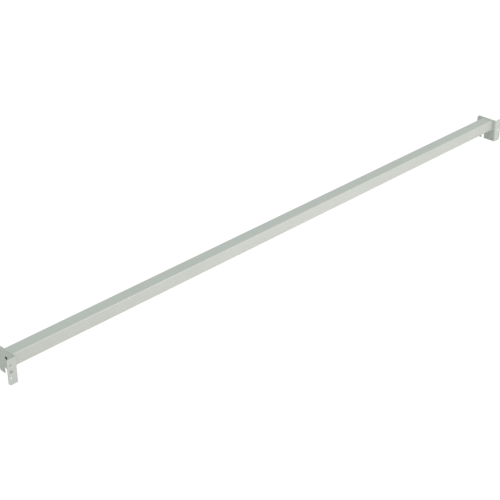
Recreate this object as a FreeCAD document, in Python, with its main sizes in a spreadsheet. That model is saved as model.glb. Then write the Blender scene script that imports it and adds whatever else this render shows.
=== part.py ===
import FreeCAD, Part
import math
import os

import Sketcher
from FreeCAD import Vector

# A welded shelving beam: a square tube with a folded bracket welded across each end.
# The beam lies along X, the bracket flanges face -Y, and the brackets stand on Z = 0.

# Driving dimensions in millimetres
DIMENSIONS = {
    "span": 2700,  # between the outer faces of the two end plates
    "tube_width": 50,
    "tube_height": 50,
    "tube_wall": 2,
    "tube_corner": 4,  # outside corner radius of the tube
    "sheet": 3,  # thickness of the bracket sheet
    "bend_radius": 3,  # inside radius of the fold between plate and flange
    "bracket_height": 102,
    "bracket_depth": 103,  # from the front of the flange to the back edge of the plate
    "flange_reach": 36,  # how far the flange stands out beyond the plate
    "back_corner": 12,  # radius of the plate's two back corners
    "flange_low_corner": 11,
    "flange_top_corner": 4,
    "tube_setback": 50,  # from the front of the flange to the tube's axis
    "tube_drop": 5.5,  # from the top edge of the plate to the top of the tube
    "bolt_hole": 13.5,  # diameter of the bolt holes and width of the slot
    "pin_hole": 8.5,  # diameter of the two locking pin holes
    "flange_hole_line": 23,  # from the plate's outer face to the line of flange holes
    "flange_hole_pitch": 26,
    "plate_hole_setback": 57,  # from the front of the flange to the hole in the plate
    "plate_hole_height": 67.5,
    "slot_setback": 66,  # from the front of the flange to the middle of the slot
    "slot_depth": 25,  # from the bottom edge of the plate to the top of the slot
    "slot_mouth_corner": 2,  # radius where the slot opens at the bottom edge
    "edge_break": 0.4,  # small chamfer left by deburring along both rims of the sheet
    "weld_leg": 3.5,  # how far the weld reaches over plate and tube
    "weld_toe": 0.3,  # thickness left where the weld runs out on the tube
}

# Sizes and places worked out from the driving dimensions
HALF_SPAN = "dims.span / 2"
HALF_DEPTH = "dims.bracket_depth / 2"
MID_HEIGHT = "dims.bracket_height / 2"
FOLD_RADIUS = "dims.bend_radius + dims.sheet"
TUBE_LENGTH = "dims.span - 2 * dims.sheet"
TUBE_AXIS_Y = "dims.tube_setback - dims.bracket_depth / 2"
TUBE_AXIS_Z = "dims.bracket_height - dims.tube_drop - dims.tube_height / 2"
PLATE_INNER_X = "dims.sheet - dims.span / 2"
FLANGE_HOLE_X = "-dims.span / 2 - dims.flange_hole_line"
PLATE_HOLE_Y = "dims.plate_hole_setback - dims.bracket_depth / 2"
SLOT_Y = "dims.slot_setback - dims.bracket_depth / 2"

# Ends of a sketch line or arc, its centre, and the sketch's own origin
START = 1
END = 2
CENTRE = 3
ORIGIN = (-1, 1)

NEAR = 1e-3  # millimetres between an edge's middle and the point that names it
LEAST_CUT = 1  # cubic millimetres that a cut has to take away
PARTS_FOLDER = "parts"

doc = FreeCAD.newDocument("shelving_beam")


def make_sheet():
    """Put every driving dimension in a cell of its own, with its name as alias."""
    sheet = doc.addObject("Spreadsheet::Sheet", "dims")
    for row, (alias, value) in enumerate(DIMENSIONS.items(), start=1):
        sheet.set(f"A{row}", alias)
        sheet.set(f"B{row}", str(value))
        sheet.setAlias(f"B{row}", alias)
    doc.recompute()
    return sheet


def mm(expression):
    """The present value of an expression on the sheet."""
    return float(dims.evalExpression(expression))


def make_body(label):
    body = doc.addObject("PartDesign::Body", label)
    body.Label = label
    return body


def make_sketch(body, name, plane_role):
    """An empty sketch on one of the body's own origin planes."""
    sketch = body.newObject("Sketcher::SketchObject", name)
    plane = next(item for item in body.Origin.OriginFeatures if item.Role == plane_role)
    sketch.AttachmentSupport = [(plane, "")]
    sketch.MapMode = "FlatFace"
    return sketch


def drive(sketch, name, expression, kind, *where):
    """Add a dimension to a sketch and bind it to the sheet."""
    index = sketch.addConstraint(Sketcher.Constraint(kind, *where, mm(expression)))
    sketch.renameConstraint(index, name)
    sketch.setExpression(f"Constraints.{name}", expression)


def constrain(sketch, *constraints):
    for kind, *where in constraints:
        sketch.addConstraint(Sketcher.Constraint(kind, *where))


def draw_rounded_rectangle(sketch, name, width, height, radius):
    """A rectangle with equal round corners, centred on the sketch's origin."""
    half_width = mm(width) / 2
    half_height = mm(height) / 2
    corner = mm(radius)
    quarter = math.pi / 2
    lines = []
    arcs = []
    for side in range(4):
        turn = FreeCAD.Rotation(Vector(0, 0, 1), 90 * side)
        along, out = (half_width, half_height) if side % 2 == 0 else (half_height, half_width)
        start = turn.multVec(Vector(corner - along, -out, 0))
        end = turn.multVec(Vector(along - corner, -out, 0))
        middle = turn.multVec(Vector(along - corner, corner - out, 0))
        circle = Part.Circle(middle, Vector(0, 0, 1), corner)
        lines.append(sketch.addGeometry(Part.LineSegment(start, end)))
        arcs.append(sketch.addGeometry(Part.ArcOfCircle(circle, (side - 1) * quarter, side * quarter)))
    for side in range(4):
        following = lines[(side + 1) % 4]
        level = "Horizontal" if side % 2 == 0 else "Vertical"
        constrain(
            sketch,
            ("Tangent", lines[side], END, arcs[side], START),
            ("Tangent", arcs[side], END, following, START),
            (level, lines[side]),
        )
    for arc in arcs[1:]:
        constrain(sketch, ("Equal", arcs[0], arc))
    constrain(sketch, ("Symmetric", arcs[0], CENTRE, arcs[2], CENTRE, *ORIGIN))
    drive(sketch, f"{name}_width", width, "DistanceX", lines[3], START, lines[1], START)
    drive(sketch, f"{name}_height", height, "DistanceY", lines[0], START, lines[2], START)
    drive(sketch, f"{name}_corner", radius, "Radius", arcs[0])


def draw_fold(sketch):
    """The left bracket seen from above: the plate, the bend and the flange, one sheet thick."""
    inner_x = mm(PLATE_INNER_X)
    outer_x = -mm(HALF_SPAN)
    tip_x = outer_x - mm("dims.flange_reach")
    back_y = mm(HALF_DEPTH)
    front_y = -back_y
    rear_y = front_y + mm("dims.sheet")
    bend = Vector(outer_x - mm("dims.bend_radius"), front_y + mm(FOLD_RADIUS), 0)
    upward = Vector(0, 0, 1)
    outside = Part.Circle(bend, upward, mm(FOLD_RADIUS))
    inside = Part.Circle(bend, upward, mm("dims.bend_radius"))
    outline = [
        Part.LineSegment(Vector(tip_x, front_y, 0), Vector(bend.x, front_y, 0)),
        Part.ArcOfCircle(outside, -math.pi / 2, 0),
        Part.LineSegment(Vector(inner_x, bend.y, 0), Vector(inner_x, back_y, 0)),
        Part.LineSegment(Vector(inner_x, back_y, 0), Vector(outer_x, back_y, 0)),
        Part.LineSegment(Vector(outer_x, back_y, 0), Vector(outer_x, bend.y, 0)),
        Part.ArcOfCircle(inside, -math.pi / 2, 0),
        Part.LineSegment(Vector(bend.x, rear_y, 0), Vector(tip_x, rear_y, 0)),
        Part.LineSegment(Vector(tip_x, rear_y, 0), Vector(tip_x, front_y, 0)),
    ]
    edges = [sketch.addGeometry(edge) for edge in outline]
    front, outer_bend, inner, back, outer, inner_bend, rear, tip = edges
    constrain(
        sketch,
        ("Tangent", front, END, outer_bend, START),
        ("Tangent", outer_bend, END, inner, START),
        ("Coincident", inner, END, back, START),
        ("Coincident", back, END, outer, START),
        ("Tangent", outer, END, inner_bend, END),
        ("Tangent", inner_bend, START, rear, START),
        ("Coincident", rear, END, tip, START),
        ("Coincident", tip, END, front, START),
        ("Coincident", outer_bend, CENTRE, inner_bend, CENTRE),
    )
    for line in (front, back, rear):
        constrain(sketch, ("Horizontal", line))
    for line in (inner, outer, tip):
        constrain(sketch, ("Vertical", line))
    drive(sketch, "half_span", HALF_SPAN, "DistanceX", outer, START, *ORIGIN)
    drive(sketch, "half_depth", HALF_DEPTH, "DistanceY", *ORIGIN, outer, START)
    drive(sketch, "depth", "dims.bracket_depth", "DistanceY", front, START, outer, START)
    drive(sketch, "reach", "dims.flange_reach", "DistanceX", front, START, outer, START)
    drive(sketch, "thickness", "dims.sheet", "DistanceX", outer, START, back, START)
    drive(sketch, "bend", "dims.bend_radius", "Radius", inner_bend)


def draw_hole(sketch, name, across, up, diameter):
    """A round hole placed from the sketch's origin."""
    middle = Vector(mm(across), mm(up), 0)
    hole = sketch.addGeometry(Part.Circle(middle, Vector(0, 0, 1), mm(diameter) / 2))
    drive(sketch, f"{name}_across", across, "DistanceX", *ORIGIN, hole, CENTRE)
    drive(sketch, f"{name}_up", up, "DistanceY", *ORIGIN, hole, CENTRE)
    drive(sketch, f"{name}_diameter", diameter, "Diameter", hole)


def draw_slot(sketch, across, depth, width):
    """A slot with a round top, open at the sketch's horizontal axis."""
    middle = mm(across)
    radius = mm(width) / 2
    shoulder = mm(depth) - radius
    low_left = Vector(middle - radius, 0, 0)
    low_right = Vector(middle + radius, 0, 0)
    high_left = Vector(middle - radius, shoulder, 0)
    high_right = Vector(middle + radius, shoulder, 0)
    crown = Part.Circle(Vector(middle, shoulder, 0), Vector(0, 0, 1), radius)
    outline = [
        Part.LineSegment(low_left, low_right),
        Part.LineSegment(low_right, high_right),
        Part.ArcOfCircle(crown, 0, math.pi),
        Part.LineSegment(high_left, low_left),
    ]
    mouth, right, top, left = [sketch.addGeometry(edge) for edge in outline]
    constrain(
        sketch,
        ("Coincident", mouth, END, right, START),
        ("Tangent", right, END, top, START),
        ("Tangent", top, END, left, START),
        ("Coincident", left, END, mouth, START),
        ("Vertical", right),
        ("Vertical", left),
        ("PointOnObject", mouth, START, -1),
        ("PointOnObject", mouth, END, -1),
    )
    drive(sketch, "slot_across", across, "DistanceX", *ORIGIN, top, CENTRE)
    drive(sketch, "slot_shoulder", f"{depth} - {width} / 2", "DistanceY", *ORIGIN, top, CENTRE)
    drive(sketch, "slot_width", width, "DistanceX", mouth, START, mouth, END)


def pad(body, sketch, name, length, side_type="One side"):
    feature = body.newObject("PartDesign::Pad", name)
    feature.Profile = sketch
    feature.SideType = side_type
    feature.setExpression("Length", length)
    doc.recompute()


def pocket(body, sketch, name, reverse=False):
    """Cut a sketch through the body, and make sure that it took something away."""
    before = body.Shape.Volume
    feature = body.newObject("PartDesign::Pocket", name)
    feature.Profile = sketch
    feature.Type = "ThroughAll"
    feature.Reversed = reverse
    doc.recompute()
    if body.Shape.Volume > before - LEAST_CUT:
        raise RuntimeError(f"{name} cut nothing from {body.Label}")


def dress_edges(body, feature_type, name, size_property, size, middles):
    """Dress the edges whose middles are given, and whatever runs on smoothly from them."""
    base = body.Tip
    edges = []
    for number, edge in enumerate(base.Shape.Edges, start=1):
        halfway = edge.valueAt((edge.FirstParameter + edge.LastParameter) / 2)
        if any(halfway.distanceToPoint(middle) < NEAR for middle in middles):
            edges.append(f"Edge{number}")
    if len(edges) != len(middles):
        raise RuntimeError(f"{name} found {len(edges)} of {len(middles)} edges")
    feature = body.newObject(feature_type, name)
    feature.Base = (base, edges)
    feature.setExpression(size_property, size)
    doc.recompute()


def round_edges(body, name, radius, *middles):
    dress_edges(body, "PartDesign::Fillet", name, "Radius", radius, middles)


def break_edges(body, name, size, *middles):
    dress_edges(body, "PartDesign::Chamfer", name, "Size", size, middles)


def make_tube():
    """The square hollow section, cut to fit between the two end plates."""
    body = make_body("beam_tube")
    section = make_sketch(body, "tube_section", "YZ_Plane")
    draw_rounded_rectangle(section, "outside", "dims.tube_width", "dims.tube_height", "dims.tube_corner")
    draw_rounded_rectangle(
        section,
        "inside",
        "dims.tube_width - 2 * dims.tube_wall",
        "dims.tube_height - 2 * dims.tube_wall",
        "dims.tube_corner - dims.tube_wall",
    )
    pad(body, section, "tube_run", TUBE_LENGTH, "Symmetric")
    body.setExpression("Placement.Base.y", TUBE_AXIS_Y)
    body.setExpression("Placement.Base.z", TUBE_AXIS_Z)
    return body


def make_left_bracket():
    """One folded sheet: a plate across the tube's end and a flange for the front of the upright."""
    body = make_body("left_end_bracket")
    fold = make_sketch(body, "fold", "XY_Plane")
    draw_fold(fold)
    pad(body, fold, "folded_sheet", "dims.bracket_height")

    plate_x = (mm(PLATE_INNER_X) - mm(HALF_SPAN)) / 2
    back_y = mm(HALF_DEPTH)
    top_z = mm("dims.bracket_height")
    tip_x = -mm(HALF_SPAN) - mm("dims.flange_reach")
    front_y = -back_y
    rear_y = front_y + mm("dims.sheet")
    flange_y = (front_y + rear_y) / 2
    low_back = Vector(plate_x, back_y, 0)
    top_back = Vector(plate_x, back_y, top_z)
    round_edges(body, "plate_back_corners", "dims.back_corner", low_back, top_back)
    round_edges(body, "flange_low_corner", "dims.flange_low_corner", Vector(tip_x, flange_y, 0))
    round_edges(body, "flange_top_corner", "dims.flange_top_corner", Vector(tip_x, flange_y, top_z))

    plate_cuts = make_sketch(body, "plate_cuts", "YZ_Plane")
    draw_hole(plate_cuts, "bolt", PLATE_HOLE_Y, "dims.plate_hole_height", "dims.bolt_hole")
    draw_slot(plate_cuts, SLOT_Y, "dims.slot_depth", "dims.bolt_hole")
    pocket(body, plate_cuts, "plate_cut")
    slot_sides = [mm(SLOT_Y) + side * mm("dims.bolt_hole") / 2 for side in (-1, 1)]
    mouth = [Vector(plate_x, side_y, 0) for side_y in slot_sides]
    round_edges(body, "slot_mouth", "dims.slot_mouth_corner", *mouth)

    bend = Vector(-mm(HALF_SPAN) - mm("dims.bend_radius"), front_y + mm(FOLD_RADIUS), top_z)
    towards_corner = Vector(1, -1, 0).normalize()
    rims = [bend + towards_corner * mm(radius) for radius in ("dims.bend_radius", FOLD_RADIUS)]
    break_edges(body, "edge_break", "dims.edge_break", *rims)

    flange_holes = make_sketch(body, "flange_holes", "XZ_Plane")
    draw_hole(flange_holes, "middle", FLANGE_HOLE_X, MID_HEIGHT, "dims.bolt_hole")
    for name, sign in (("upper", "+"), ("lower", "-")):
        height = f"{MID_HEIGHT} {sign} dims.flange_hole_pitch"
        draw_hole(flange_holes, name, FLANGE_HOLE_X, height, "dims.pin_hole")
    pocket(body, flange_holes, "flange_hole_cut", reverse=True)
    return body


def make_left_weld():
    """The fillet weld round the tube, sloping from the plate down to the tube's faces."""
    body = make_body("left_weld_bead")
    rims = []
    for name, spread, along in (("root", "dims.weld_leg", "0"), ("toe", "dims.weld_toe", "dims.weld_leg")):
        rim = make_sketch(body, f"{name}_rim", "YZ_Plane")
        rim.setExpression("AttachmentOffset.Base.z", along)
        draw_rounded_rectangle(
            rim,
            name,
            f"dims.tube_width + 2 * {spread}",
            f"dims.tube_height + 2 * {spread}",
            f"dims.tube_corner + {spread}",
        )
        rims.append(rim)
    slope = body.newObject("PartDesign::AdditiveLoft", "slope")
    slope.Profile = rims[0]
    slope.Sections = rims[1:]
    slope.Ruled = True
    doc.recompute()

    clearance = make_sketch(body, "tube_outline", "YZ_Plane")
    draw_rounded_rectangle(clearance, "tube", "dims.tube_width", "dims.tube_height", "dims.tube_corner")
    pocket(body, clearance, "tube_cut", reverse=True)
    body.setExpression("Placement.Base.x", PLATE_INNER_X)
    body.setExpression("Placement.Base.y", TUBE_AXIS_Y)
    body.setExpression("Placement.Base.z", TUBE_AXIS_Z)
    return body


def make_mirror_image(source, label):
    """The right-hand piece: the left-hand one mirrored in the middle of the beam."""
    image = doc.addObject("Part::Mirroring", label)
    image.Label = label
    image.Source = source
    image.Base = Vector(0, 0, 0)
    image.Normal = Vector(1, 0, 0)
    return image


def check_and_write(pieces):
    doc.recompute()
    for item in doc.Objects:
        if "Invalid" in item.State or "Error" in item.State:
            raise RuntimeError(f"{item.Label} failed: {item.State}")
    for piece in pieces:
        shape = piece.Shape
        if shape.isNull() or not shape.isValid() or len(shape.Solids) != 1:
            raise RuntimeError(f"{piece.Label} isn't one valid solid")
    os.makedirs(PARTS_FOLDER, exist_ok=True)
    for piece in pieces:
        piece.Shape.exportStep(f"{PARTS_FOLDER}/{piece.Label}.step")
        box = piece.Shape.optimalBoundingBox()
        size = f"{box.XLength:.1f} x {box.YLength:.1f} x {box.ZLength:.1f} mm"
        print(f"{piece.Label}: {size}, {piece.Shape.Volume / 1000:.1f} cm3")


dims = make_sheet()
tube = make_tube()
left_bracket = make_left_bracket()
left_weld = make_left_weld()
right_bracket = make_mirror_image(left_bracket, "right_end_bracket")
right_weld = make_mirror_image(left_weld, "right_weld_bead")
check_and_write([tube, left_bracket, right_bracket, left_weld, right_weld])
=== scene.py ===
# %% [markdown]
# # Dressing a shelving beam
# The part is a welded steel beam that carries a shelf: a long square tube with a folded bracket
# welded across each end, all of it powder coated in one light grey. Its solids come from the CAD
# model, at their real size and in metres, and they are never moved here. This lesson adds what the
# eye sees on them: the weld seams, the coat, the light and the view.

import math

import bmesh
import bpy
from mathutils import Matrix, Vector, noise


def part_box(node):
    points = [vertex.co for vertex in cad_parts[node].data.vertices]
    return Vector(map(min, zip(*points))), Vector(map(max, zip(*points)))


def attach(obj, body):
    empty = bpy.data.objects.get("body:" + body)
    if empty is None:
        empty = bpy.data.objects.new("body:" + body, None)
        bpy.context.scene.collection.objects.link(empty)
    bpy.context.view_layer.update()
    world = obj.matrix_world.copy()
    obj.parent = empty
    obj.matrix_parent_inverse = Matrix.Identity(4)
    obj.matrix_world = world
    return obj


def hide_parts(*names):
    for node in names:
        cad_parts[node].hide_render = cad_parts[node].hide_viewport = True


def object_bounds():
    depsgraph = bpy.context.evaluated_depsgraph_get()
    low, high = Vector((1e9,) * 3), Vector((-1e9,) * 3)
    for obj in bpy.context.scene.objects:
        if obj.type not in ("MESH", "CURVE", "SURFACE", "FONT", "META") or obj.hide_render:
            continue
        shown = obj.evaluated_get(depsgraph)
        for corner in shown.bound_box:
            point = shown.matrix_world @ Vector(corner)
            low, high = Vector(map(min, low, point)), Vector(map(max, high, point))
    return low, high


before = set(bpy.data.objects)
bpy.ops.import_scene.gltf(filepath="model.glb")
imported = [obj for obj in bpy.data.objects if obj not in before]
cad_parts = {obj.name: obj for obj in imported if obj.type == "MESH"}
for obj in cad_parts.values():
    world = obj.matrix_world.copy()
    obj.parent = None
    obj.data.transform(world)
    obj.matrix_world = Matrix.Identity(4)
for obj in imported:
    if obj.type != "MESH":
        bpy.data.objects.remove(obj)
cad_low, cad_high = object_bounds()
print("solids:", ", ".join(sorted(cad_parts)))
print("size in metres:", [round(side, 4) for side in cad_high - cad_low])

# %% [markdown]
# ## Read sizes, don't type them
# A new piece has to sit on the solids to a fraction of a millimetre. Typing its place in again would
# work until somebody changes the CAD model, so the places are read from the boxes of the solids
# instead. The box of the tube gives its four faces, and the box of a weld gives how far the weld
# reaches over the tube. Two sizes can't be seen in a box, the tube's corner radius and its wall, so
# those are typed in further on.

# %% Measure the tube and the weld
MM = 0.001

tube_low, tube_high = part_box("beam_tube")
tube_axis = (tube_low + tube_high) / 2
tube_half = (tube_high.z - tube_low.z) / 2
weld_low, weld_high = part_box("left_weld_bead")
weld_leg = weld_high.x - weld_low.x
print(f"tube {2 * tube_half / MM:.1f} mm square, weld leg {weld_leg / MM:.1f} mm")

# %% [markdown]
# ## The weld seam
# On the real beam a fillet weld runs all the way round the tube where it meets the plate. It was laid
# as a row of small melted drops, so its face is slightly rounded and rippled, and the ripples lie
# like scales, each one a crescent. A noise bump could hint at that, but a seam is seen in outline
# too, so it is modelled. The section needs few points: one point, spun through a small arc, draws the
# rounded face, and three more close the section inside the steel, so that no light gets under the
# seam.

# %% Draw the section of the seam
SEAM_BULGE = 0.5 * MM
SEAM_SINK = 0.4 * MM
FACE_STEPS = 8


def draw_seam_section(bm):
    """The closed outline of the seam above the middle of the tube's top face, at the left plate."""
    root = Vector((tube_low.x, tube_axis.y, tube_high.z))
    half_chord = weld_leg / math.sqrt(2)
    radius = (half_chord**2 + SEAM_BULGE**2) / (2 * SEAM_BULGE)
    inward = Vector((-1, 0, -1)).normalized()
    centre = root + Vector((weld_leg, 0, weld_leg)) / 2 + inward * (radius - SEAM_BULGE)
    plate_toe = bm.verts.new(root + Vector((0, 0, weld_leg)))
    bmesh.ops.spin(
        bm,
        geom=[plate_toe],
        cent=centre,
        axis=(0, 1, 0),
        angle=2 * math.asin(half_chord / radius),
        steps=FACE_STEPS,
        use_merge=False,
    )
    tube_toe = max(bm.verts, key=lambda vert: vert.co.x)
    corner = root - Vector((SEAM_SINK, 0, SEAM_SINK))
    back = [
        bm.verts.new((tube_toe.co.x, root.y, corner.z)),
        bm.verts.new(corner),
        bm.verts.new((corner.x, root.y, plate_toe.co.z)),
    ]
    for start, end in zip([tube_toe, *back], [*back, plate_toe]):
        bm.edges.new((start, end))


print(f"seam face {FACE_STEPS} steps wide, bulging {SEAM_BULGE / MM:.1f} mm")

# %% [markdown]
# ## Sweeping the section round the tube
# The seam follows a square with round corners. A curve with a bevel could do it, but two plain spins
# a side keep the rings evenly spaced: a spin with no angle and a step of travel is a straight sweep,
# and a quarter turn about the corner's own centre takes the section round it. When the fourth corner
# is done, the last ring lies on the first one, and merging the two closes the seam. A spin makes its
# faces in no fixed order, so at the end they are sorted by the numbers of their points, and the mesh
# comes out the same in every run.

# %% Sweep the seam
SIDES = 4
QUARTER_TURN = math.pi / 2
TUBE_CORNER = 4 * MM
RING_STEP = 0.3 * MM
MERGE_DISTANCE = RING_STEP / 10

flat_half = tube_half - TUBE_CORNER


def sweep_once(bm, section, centre, **travel):
    """Spin the section on about a line along the beam and return the edges that it ends on."""
    swept = bmesh.ops.spin(
        bm,
        geom=section,
        cent=centre,
        axis=(1, 0, 0),
        use_merge=False,
        use_duplicate=False,
        **travel,
    )
    return [item for item in swept["geom_last"] if isinstance(item, bmesh.types.BMEdge)]


def sort_faces(bm):
    """Put the faces in the order of their points."""
    bm.verts.index_update()
    in_order = sorted(bm.faces, key=lambda face: sorted(vert.index for vert in face.verts))
    for place, face in enumerate(in_order):
        face.index = place
    bm.faces.sort()


def sweep_seam(bm):
    """Carry the section along each side and round each corner of the tube, and close the seam."""
    # The middle of a triangle lies a third of its height above its foot
    mean_radius = TUBE_CORNER + weld_leg / 3
    side_steps = round(2 * flat_half / RING_STEP)
    corner_steps = round(mean_radius * QUARTER_TURN / RING_STEP)
    section = bm.edges[:]
    bmesh.ops.translate(bm, vec=(0, -flat_half, 0), verts=bm.verts)
    for side in range(SIDES):
        turn = Matrix.Rotation(-side * QUARTER_TURN, 3, "X")
        along = turn @ Vector((0, 2 * flat_half, 0))
        corner = tube_axis + turn @ Vector((0, flat_half, flat_half))
        section = sweep_once(bm, section, corner, angle=0, dvec=along / side_steps, steps=side_steps)
        section = sweep_once(bm, section, corner, angle=-QUARTER_TURN, steps=corner_steps)
    bmesh.ops.remove_doubles(bm, verts=bm.verts, dist=MERGE_DISTANCE)
    bmesh.ops.recalc_face_normals(bm, faces=bm.faces)
    sort_faces(bm)


print(f"each side is flat for {2 * flat_half / MM:.1f} mm")

# %% [markdown]
# ## Ripples
# Each ripple is where one drop froze over the last. Going along the seam, the face rises in a smooth
# swell and drops into a narrow valley, so the height is the absolute value of a sine, not a plain
# wave. Towards both toes the ripple trails behind, which bends it to a crescent. A little noise keeps
# the drops from being equal, and the toes stay where they are, so that the seam still meets plate and
# tube.

# %% Ripple the seam
DROP_PITCH = 2.2 * MM
RIPPLE_DEPTH = 0.35 * MM
CRESCENT = 1.3 * MM
WANDER = 0.8 * MM
WANDER_LENGTH = 9 * MM
NUDGE = 0.001 * MM

side_length = 2 * flat_half + TUBE_CORNER * QUARTER_TURN
drops_a_side = round(side_length / DROP_PITCH)


def place_on_seam(point):
    """How many sides round the tube a point lies, how far across the seam's face, and which way is out.

    Across goes from -1 where the seam ends on the plate to 1 where it ends on the tube.
    """
    for side in range(SIDES):
        turn = Matrix.Rotation(-side * QUARTER_TURN, 3, "X")
        _, along, up = turn.transposed() @ (point - tube_axis)
        if up > flat_half and along > -flat_half - NUDGE:
            break
    past_flat = max(0, along - flat_half)
    lean = math.atan2(past_flat, up - flat_half)
    around = side * side_length + min(along, flat_half) + flat_half + lean * TUBE_CORNER
    height = math.hypot(past_flat, up - flat_half) - TUBE_CORNER
    across = (point.x - tube_low.x - height) / weld_leg
    outward = turn @ Vector((1, math.sin(lean), math.cos(lean))).normalized()
    return around / side_length, across, outward


def ripple_seam(bm):
    """Press the valleys between the drops into the seam's face."""
    on_face = [vert for vert in bm.verts if vert.co.x > tube_low.x - NUDGE]
    for vert in on_face:
        sides_passed, across, outward = place_on_seam(vert.co)
        drift = WANDER * noise.noise(vert.co / WANDER_LENGTH) - CRESCENT * across**2
        drop = sides_passed * drops_a_side + drift / DROP_PITCH
        valley = 1 - abs(math.sin(math.pi * drop))
        vert.co -= outward * RIPPLE_DEPTH * valley * max(0, 1 - across**2)


print(drops_a_side, "drops a side")

# %% [markdown]
# ## From bmesh to a piece
# The left seam is made once. The right one is the same seam mirrored across the middle of the beam,
# which turns its faces inside out, so they are turned back. A Mirror modifier would join both seams
# in one piece, and two pieces are wanted here, because each seam takes the place of the plain weld
# solid at its end.

# %% Make both seams
SHARP_ANGLE = math.radians(40)


def make_object(name, bm):
    """A smooth-shaded object of the given mesh, with its sharp edges kept sharp."""
    mesh = bpy.data.meshes.new(name)
    bm.to_mesh(mesh)
    mesh.polygons.foreach_set("use_smooth", [True] * len(mesh.polygons))
    mesh.set_sharp_from_angle(angle=SHARP_ANGLE)
    piece = bpy.data.objects.new(name, mesh)
    bpy.context.scene.collection.objects.link(piece)
    return piece


def make_seams():
    """Both weld seams by side, each in place of the solid of that side."""
    bm = bmesh.new()
    draw_seam_section(bm)
    sweep_seam(bm)
    ripple_seam(bm)
    seams = {"left": make_object("left_weld_seam", bm)}
    bmesh.ops.scale(bm, vec=(-1, 1, 1), verts=bm.verts)
    bmesh.ops.reverse_faces(bm, faces=bm.faces)
    seams["right"] = make_object("right_weld_seam", bm)
    bm.free()
    for side, seam in seams.items():
        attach(seam, "root")
        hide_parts(f"{side}_weld_bead")
        print(f"{seam.name}: {len(seam.data.polygons)} faces")
    return seams


seams = make_seams()

# %% [markdown]
# ## Nodes by code
# In the editor a material is drawn with boxes and wires. In a script each box and each wire takes a
# line, so a few helpers keep it readable: they add a node, feed its sockets by name with a wire or a
# plain value, and return the socket to go on from. Some nodes have several sockets of one name and
# use only one of them at a time, so the helpers look for the one in use.

# %% Helpers for node materials
NOISE_DETAIL = 2
NOISE_SPREAD = (0.3, 0.7)


def pick(sockets, name):
    """The socket of that name which the node's options leave in use."""
    return next(socket for socket in sockets if socket.enabled and socket.name == name)


def feed(tree, socket, value):
    """Wire a socket to another one, or set it to a plain value."""
    if isinstance(value, bpy.types.NodeSocket):
        tree.links.new(value, socket)
    else:
        socket.default_value = value


def add_node(tree, kind, options=None, **inputs):
    """Add a node, set its options, feed its inputs and return its first output in use."""
    node = tree.nodes.new(f"ShaderNode{kind}")
    for option, value in (options or {}).items():
        setattr(node, option, value)
    for name, value in inputs.items():
        feed(tree, pick(node.inputs, name.replace("_", " ")), value)
    return next(socket for socket in node.outputs if socket.enabled)


def add_math(tree, operation, *values):
    """The result of an operation on sockets or plain numbers."""
    result = add_node(tree, "Math", {"operation": operation})
    for socket, value in zip(result.node.inputs, values):
        feed(tree, socket, value)
    return result


def add_noise(tree, point, size, low, high):
    """A noise with features of about the given size in metres, spread over a range of values."""
    grey = add_node(tree, "TexNoise", Vector=point, Scale=1 / size, Detail=NOISE_DETAIL)
    least, most = NOISE_SPREAD
    return add_node(tree, "MapRange", Value=grey, From_Min=least, From_Max=most, To_Min=low, To_Max=high)


def object_point(tree):
    """The place of the shaded point in the object's own coordinates."""
    return pick(tree.nodes.new("ShaderNodeTexCoord").outputs, "Object")


print("noise values from", *NOISE_SPREAD, "are spread out")

# %% [markdown]
# ## The powder coat
# Powder coat is a baked layer of plastic. It isn't quite smooth: it flows into soft waves two or
# three millimetres long, called orange peel, with a finer grain on top. Where the layer is thicker it
# is a shade paler, and the sheen changes a little from place to place. A painted image could show all
# that, but it would have to be huge for a beam this long. So each effect is one noise texture with
# its own size, and all of them read Object coordinates, in metres, so a texture scale is simply one
# over the size of the feature.

# %% Mix the powder coat
COAT_THIN = (0.574, 0.611, 0.576, 1)
COAT_THICK = (0.594, 0.631, 0.596, 1)
PATCH_SIZE = 120 * MM
SHEEN_SIZE = 25 * MM
COAT_IOR = 1.6
ROUGHNESS = (0.30, 0.40)
PEEL_SIZE = 2.5 * MM
PEEL_HEIGHT = 0.04 * MM
GRAIN_SIZE = 0.5 * MM
GRAIN_SHARE = 0.25
TUBE_PEEL_STRETCH = (2, 1, 1)


def mix_powder_coat(name, peel_stretch=(1, 1, 1)):
    """A coat whose orange peel is drawn out along X, Y or Z by the given factors."""
    material = bpy.data.materials.new(name)
    material.use_nodes = True
    tree = material.node_tree
    shader = tree.nodes["Principled BSDF"]
    shader.inputs["IOR"].default_value = COAT_IOR
    point = object_point(tree)

    patches = add_noise(tree, point, PATCH_SIZE, 0, 1)
    colour = add_node(tree, "Mix", {"data_type": "RGBA"}, Factor=patches, A=COAT_THIN, B=COAT_THICK)
    feed(tree, shader.inputs["Base Color"], colour)
    feed(tree, shader.inputs["Roughness"], add_noise(tree, point, SHEEN_SIZE, *ROUGHNESS))

    squeeze = [1 / factor for factor in peel_stretch]
    drawn_out = add_node(tree, "Mapping", Vector=point, Scale=squeeze)
    peel = add_noise(tree, drawn_out, PEEL_SIZE, 0, 1)
    grain = add_noise(tree, point, GRAIN_SIZE, 0, GRAIN_SHARE)
    height = add_math(tree, "ADD", peel, grain)
    bump = add_node(tree, "Bump", Height=height, Strength=1, Distance=PEEL_HEIGHT)
    feed(tree, shader.inputs["Normal"], bump)
    return material


bracket_coat = mix_powder_coat("powder_coat_on_sheet")
seam_coat = mix_powder_coat("powder_coat_on_weld")
tube_coat = mix_powder_coat("powder_coat_on_tube", TUBE_PEEL_STRETCH)
print("coats:", bracket_coat.name, seam_coat.name, tube_coat.name)

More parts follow.
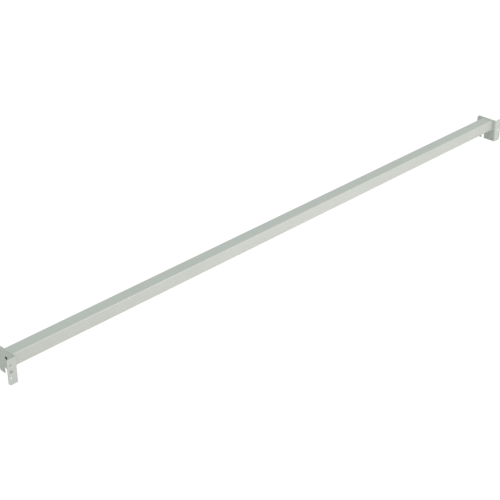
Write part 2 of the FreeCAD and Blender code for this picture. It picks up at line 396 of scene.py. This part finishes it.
# %% [markdown]
# ## Bare steel and painted shade inside the tube
# The powder is sprayed from outside, so the inside of the tube stays bare, rolled steel. It shows
# only through the bolt hole in each plate, as the dark of the hole. Its colour is very dark: partly the
# dark scale of rolled steel, and partly painted shade that turns the hole black. The tube is one solid
# with one material, so the material itself has to tell inside from outside. It asks how far a point
# lies from the tube's axis, across or up, whichever is more. The inner faces lie nearest, and the
# middle of the rounded outer corner comes next, before the outer faces. So the limit lies between the
# inner faces and that corner, or bare steel would show along it.

# %% Leave the inside of the tube bare, dark with painted shade
TUBE_WALL = 2 * MM
# Dark as the scale of rolled steel, and darker still as painted shade in the bolt hole
BARE_STEEL_AND_HOLE_SHADE = (0.11, 0.105, 0.10, 1)
BARE_ROUGHNESS = 0.5

inner_face = tube_half - TUBE_WALL
outer_corner = tube_half - TUBE_CORNER * (1 - math.sqrt(0.5))
inside_limit = (inner_face + outer_corner) / 2


def bare_and_shade_the_inside(material):
    """Change the finish to bare steel, dark with painted shade, wherever a point lies inside the tube.
    """
    tree = material.node_tree
    shader = tree.nodes["Principled BSDF"]
    centred = add_node(tree, "Mapping", Vector=object_point(tree), Location=-tube_axis)
    distance = add_node(tree, "VectorMath", {"operation": "ABSOLUTE"}, Vector=centred)
    split = add_node(tree, "SeparateXYZ", Vector=distance).node
    furthest = add_math(tree, "MAXIMUM", split.outputs["Y"], split.outputs["Z"])
    inside = add_math(tree, "LESS_THAN", furthest, inside_limit)

    finishes = (("Base Color", "RGBA", BARE_STEEL_AND_HOLE_SHADE), ("Roughness", "FLOAT", BARE_ROUGHNESS))
    for name, kind, bare in finishes:
        coated = shader.inputs[name].links[0].from_socket
        both = add_node(tree, "Mix", {"data_type": kind}, Factor=inside, A=coated, B=bare)
        feed(tree, shader.inputs[name], both)
    feed(tree, shader.inputs["Metallic"], inside)


bare_and_shade_the_inside(tube_coat)
print(f"bare steel within {inside_limit / MM:.2f} mm of the tube's axis")

# %% [markdown]
# ## Dressing every piece
# Tube, brackets and seams were coated together, after welding, so they all get the same powder coat.
# Each solid arrives with one material slot, so its finish is put on by filling that slot, and its
# mesh stays untouched. The seams are new meshes with no slot yet, so the coat is appended to them.

# %% Dress every piece
solid_coats = {
    "beam_tube": tube_coat,
    "left_end_bracket": bracket_coat,
    "right_end_bracket": bracket_coat,
}
for node, coat in solid_coats.items():
    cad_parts[node].material_slots[0].material = coat
for seam in seams.values():
    seam.data.materials.append(seam_coat)
print("dressed", len(solid_coats) + len(seams), "pieces")

# %% [markdown]
# ## A white studio
# The beam rests on a matt table of a pale, slightly warm white, which reaches three metres to each
# side. Under this light the table would come out light grey with a soft shadow on it, while a
# catalogue picture shows the object on pure white. Raising the light until the table burns out would
# wash out the beam as well. So the table gives off extra light that only the camera sees: the ground
# of the picture turns white, and the light that the table throws back onto the beam stays true, with
# the undersides still the darkest.

# %% Build the table
TABLE_HALF = 3
TABLE_COLOUR = (0.80, 0.79, 0.77, 1)
TABLE_ROUGHNESS = 1
TABLE_GLOSS = 0
PICTURE_WHITE = (1.04, 1.04, 1.04, 1)
BLACK = (0, 0, 0, 1)


def light_seen(tree):
    """One for what the camera sees directly, nought for light on its way to other surfaces."""
    return pick(tree.nodes.new("ShaderNodeLightPath").outputs, "Is Camera Ray")


bm = bmesh.new()
bmesh.ops.create_grid(bm, x_segments=1, y_segments=1, size=TABLE_HALF)
bmesh.ops.translate(bm, vec=(0, 0, cad_low.z), verts=bm.verts)
table = make_object("table", bm)
bm.free()

table_white = bpy.data.materials.new("table_white")
table_white.use_nodes = True
table_tree = table_white.node_tree
table_sockets = table_tree.nodes["Principled BSDF"].inputs
table_sockets["Roughness"].default_value = TABLE_ROUGHNESS
table_sockets["Specular IOR Level"].default_value = TABLE_GLOSS
table_sockets["Emission Color"].default_value = PICTURE_WHITE
seen = light_seen(table_tree)
shade = add_node(table_tree, "Mix", {"data_type": "RGBA"}, Factor=seen, A=TABLE_COLOUR, B=BLACK)
feed(table_tree, table_sockets["Base Color"], shade)
feed(table_tree, table_sockets["Emission Strength"], seen)
table.data.materials.append(table_white)
print("table top at", round(cad_low.z, 4))

# %% [markdown]
# ## Light from all round
# Most of the light comes from all round, as in a room with white walls, and it is a little cool.
# Large lamps on every side could do that, but an even background does it in one step and leaves no
# side of the beam in the dark. Where the camera looks past the table it is shown the same plain white
# as the table.

# %% Light the room
ROOM_LIGHT = (0.96, 1.0, 0.97, 1)
ROOM_STRENGTH = 0.77

world = bpy.data.worlds.new("studio")
bpy.context.scene.world = world
world.use_nodes = True
room = world.node_tree
backdrop = room.nodes["Background"]
seen = light_seen(room)
shade = add_node(room, "Mix", {"data_type": "RGBA"}, Factor=seen, A=ROOM_LIGHT, B=PICTURE_WHITE)
strength = add_node(room, "MapRange", Value=seen, To_Min=ROOM_STRENGTH, To_Max=1)
feed(room, backdrop.inputs["Color"], shade)
feed(room, backdrop.inputs["Strength"], strength)
print("room light", ROOM_STRENGTH)

# %% [markdown]
# ## One low softbox
# A warm strip softbox stands low in front of the right half of the beam, with its upper edge below
# the tube's top. It makes the front of the tube paler than the top, most of all right before the
# lamp, and it warms the inner face of the right plate, while the outer face of the left plate keeps
# the cool light of the room. A higher lamp would be mirrored in the top as a white band, seen from
# behind. This low, it shows only in the rounded edge, as a thin line of gloss near the left end. It
# stands past the edge of the table, because over the table it would make a glaring patch under
# itself, and each stray ray that came from that patch would leave a white speck on the beam.

# %% Set up the softbox
LAMP_COLOUR = (1.15, 1.0, 1.03)
SOFTBOX_PLACE = Vector((1.0, -3.6, 0.05))
SOFTBOX_AIM = Vector((-0.35, 0.0, 0.05))
SOFTBOX_SIZE = (1.6, 0.08)
SOFTBOX_POWER = 32
SOFTBOX_SPREAD = math.radians(140)

softbox_light = bpy.data.lights.new("softbox", "AREA")
softbox_light.shape = "RECTANGLE"
softbox_light.size, softbox_light.size_y = SOFTBOX_SIZE
softbox_light.energy = SOFTBOX_POWER
softbox_light.spread = SOFTBOX_SPREAD
softbox_light.color = LAMP_COLOUR
softbox = bpy.data.objects.new("softbox", softbox_light)
softbox.location = SOFTBOX_PLACE
softbox.rotation_euler = (SOFTBOX_AIM - SOFTBOX_PLACE).to_track_quat("-Z", "Y").to_euler()
bpy.context.scene.collection.objects.link(softbox)
print("softbox", SOFTBOX_POWER, "W")

# %% [markdown]
# ## The camera
# The view is taken from in front of the left end and above, with a long lens, which keeps the far
# bracket at seven tenths of the near one's size. A shifted lens could keep upright edges upright, but
# the shift would stay on when the camera looks from other sides, and push the beam out of those
# pictures. So the camera is unshifted, and upright edges lean by a few degrees near both ends. The
# Standard view transform shows the colours as they were mixed, with no film curve over them.

# %% Set up the camera
CAMERA_TURN = math.radians(45.34)
CAMERA_DIP = math.radians(29.28)
CAMERA_AIM = Vector((-0.261, -0.059, tube_axis.z))
CAMERA_DISTANCE = 4.97
LENS_MM = 93.85
SENSOR_MM = 36

camera_data = bpy.data.cameras.new("camera")
camera_data.lens = LENS_MM
camera_data.sensor_width = SENSOR_MM
camera = bpy.data.objects.new("camera", camera_data)
camera.rotation_euler = (QUARTER_TURN - CAMERA_DIP, 0, -CAMERA_TURN)
backwards = camera.rotation_euler.to_matrix() @ Vector((0, 0, 1))
camera.location = CAMERA_AIM + backwards * CAMERA_DISTANCE
bpy.context.scene.collection.objects.link(camera)
bpy.context.scene.camera = camera
bpy.context.scene.view_settings.view_transform = "Standard"
print("camera at", [round(value, 3) for value in camera.location])
